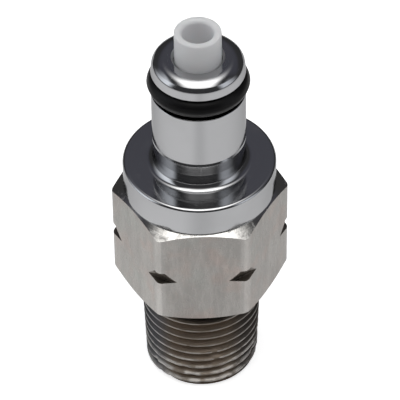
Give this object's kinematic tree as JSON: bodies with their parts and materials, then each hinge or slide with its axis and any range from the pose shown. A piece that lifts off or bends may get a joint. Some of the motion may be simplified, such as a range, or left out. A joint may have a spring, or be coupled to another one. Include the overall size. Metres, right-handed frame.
{
  "type": "quick disconnect coupling",
  "caption": "Valved male insert of a quick disconnect coupling, with a sealed stem, latch groove, collar, notched hexagon and tapered outside pipe thread.",
  "frame": {"origin": "centre of the threaded end's face, which the insert stands on", "axes": "+Z along the insert's axis from the threaded end to the nose; two edges of the hexagon lie on X and a flat faces -Y"},
  "size_m": [0.0144, 0.0126, 0.036],
  "materials": {
    "polished_plate": "bright plated turning, polished, with faint turning marks",
    "brushed_plate": "plated brass bar, brushed hexagon flats, darker worn thread",
    "seal_rubber": "smooth black seal rubber, lightly greased",
    "white_acetal": "natural white acetal, satin and slightly translucent",
    "spring_steel": "drawn stainless wire"
  },
  "bodies": {
    "coupling_body": {"stem_body": "polished_plate", "hex_adapter": "brushed_plate", "stem_seal_ring": "seal_rubber", "joint_seal_ring": "seal_rubber", "valve_spring": "spring_steel"},
    "valve": {"valve_tube": "white_acetal", "valve_seal_ring": "seal_rubber"}
  },
  "joints": [
    {"name": "valve_slide", "type": "slide", "parent": "coupling_body", "child": "valve", "axis": [0, 0, -1], "range_m": [0, 0.0025], "stiffness_N_per_m": 1400, "springref_m": -0.003, "deforming": ["valve_spring"]}
  ]
}
